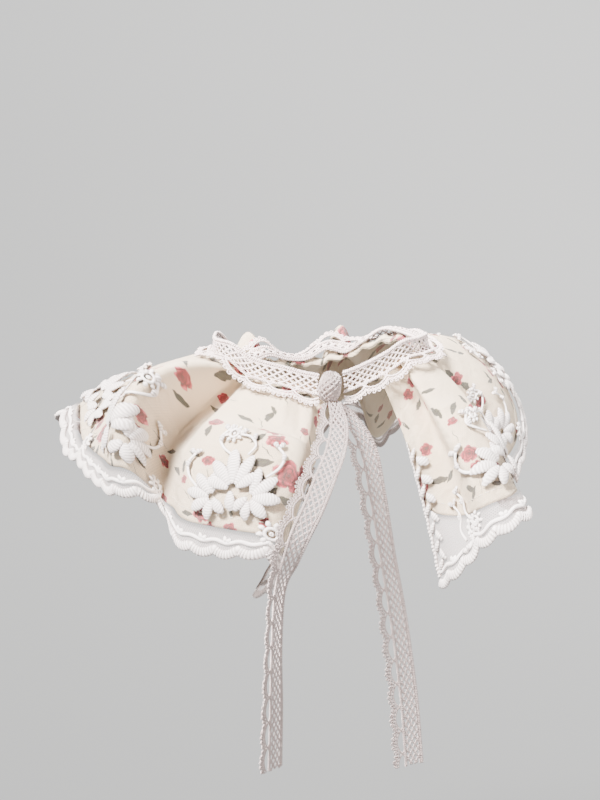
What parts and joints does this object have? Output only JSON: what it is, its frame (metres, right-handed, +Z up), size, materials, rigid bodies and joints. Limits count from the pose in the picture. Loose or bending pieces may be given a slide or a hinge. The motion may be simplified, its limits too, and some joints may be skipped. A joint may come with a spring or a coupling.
{
  "type": "pet lace collar",
  "caption": "Pleated rose-print cape collar for a cat or small dog, with an embroidered net flounce and lace tape tied at the front.",
  "frame": {"origin": "middle of the neck loop, where the wearer's neck passes through", "axes": "+Z up along the neck, front (knot and ties) towards -Y, +X to the right in the front view"},
  "size_m": [0.2141, 0.2076, 0.1753],
  "materials": {
    "printed_cotton": "matte plain-weave cotton, cream with a rose print",
    "embroidered_net": "sheer net with a corded edge",
    "satin_thread": "padded satin stitch",
    "cotton_tape": "matte cotton lace tape"
  },
  "bodies": {
    "root": {"cape_cloth": "printed_cotton", "cape_lace": "embroidered_net", "neck_lace": "cotton_tape", "knot": "cotton_tape", "tie_left": "cotton_tape", "tie_right": "cotton_tape", "spray_01": "satin_thread", "spray_02": "satin_thread", "spray_03": "satin_thread", "spray_04": "satin_thread", "spray_05": "satin_thread", "spray_06": "satin_thread", "spray_07": "satin_thread", "spray_08": "satin_thread", "spray_09": "satin_thread", "spray_10": "satin_thread", "spray_11": "satin_thread"}
  },
  "joints": []
}
